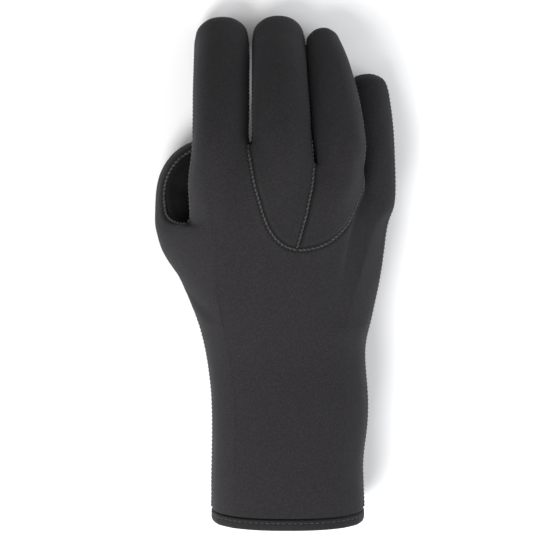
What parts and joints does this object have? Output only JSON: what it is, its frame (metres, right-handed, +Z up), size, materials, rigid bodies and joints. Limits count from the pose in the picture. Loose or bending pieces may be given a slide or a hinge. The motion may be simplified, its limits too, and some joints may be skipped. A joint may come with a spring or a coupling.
{
  "type": "neoprene diving glove",
  "caption": "Full-finger right-hand diving glove in sewn neoprene with curved fingers, an inset back-of-hand panel and a long open cuff that keeps the hand warm under water.",
  "frame": {"origin": "bottom centre of the bounding box, on the surface the glove lies on", "axes": "+Z up out of the back of the hand, +Y from the cuff towards the fingertips, +X from the thumb side towards the little finger"},
  "size_m": [0.1296, 0.2756, 0.064],
  "materials": {
    "neoprene_back": "matte nylon-faced neoprene",
    "neoprene_inset": "matte nylon-faced neoprene",
    "neoprene_palm": "matte nylon-faced neoprene",
    "neoprene_hem": "matte neoprene, turned and stitched"
  },
  "bodies": {
    "root": {"back_panel": "neoprene_back", "middle_finger_back": "neoprene_inset", "ring_finger_back": "neoprene_inset", "palm_panel": "neoprene_palm", "cuff_hem": "neoprene_hem"}
  },
  "joints": []
}
